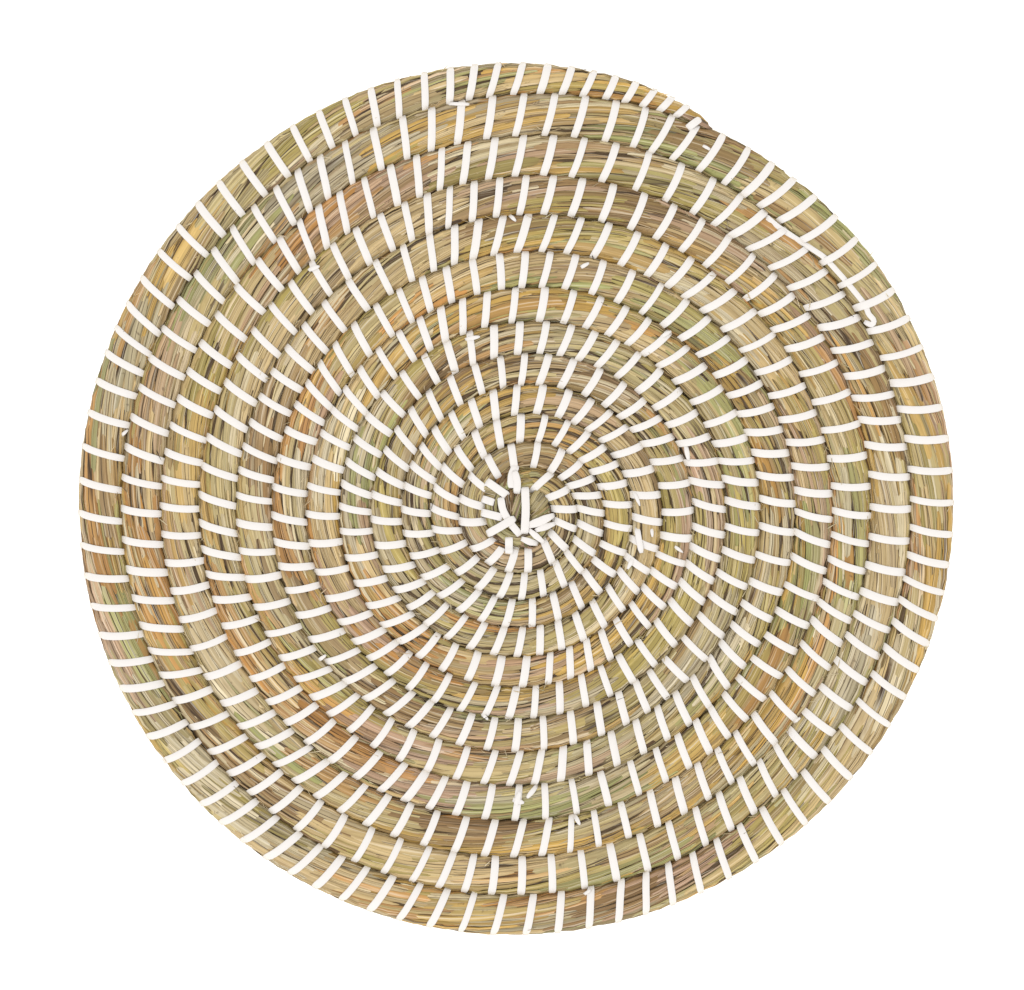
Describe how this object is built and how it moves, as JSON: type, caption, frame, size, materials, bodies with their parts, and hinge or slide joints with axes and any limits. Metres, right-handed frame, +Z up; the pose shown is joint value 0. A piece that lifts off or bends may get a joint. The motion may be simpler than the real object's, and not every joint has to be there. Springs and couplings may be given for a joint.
{
  "type": "coiled seagrass placemat",
  "caption": "Round table mat coiled flat from a bundle of dried seagrass and sewn turn to turn with white plastic strip, ridged on both faces.",
  "frame": {"origin": "middle of the outline, on the surface that the mat lies on", "axes": "+Z up through the thickness of the mat; +Y points to the top of the picture, just left of where the coil's tail ends"},
  "size_m": [0.3806, 0.3796, 0.009],
  "materials": {
    "seagrass": "dried plant fibre, matt",
    "stitching": "soft white plastic strip, satin"
  },
  "bodies": {
    "root": {"seagrass_coil": "seagrass"}
  },
  "joints": []
}
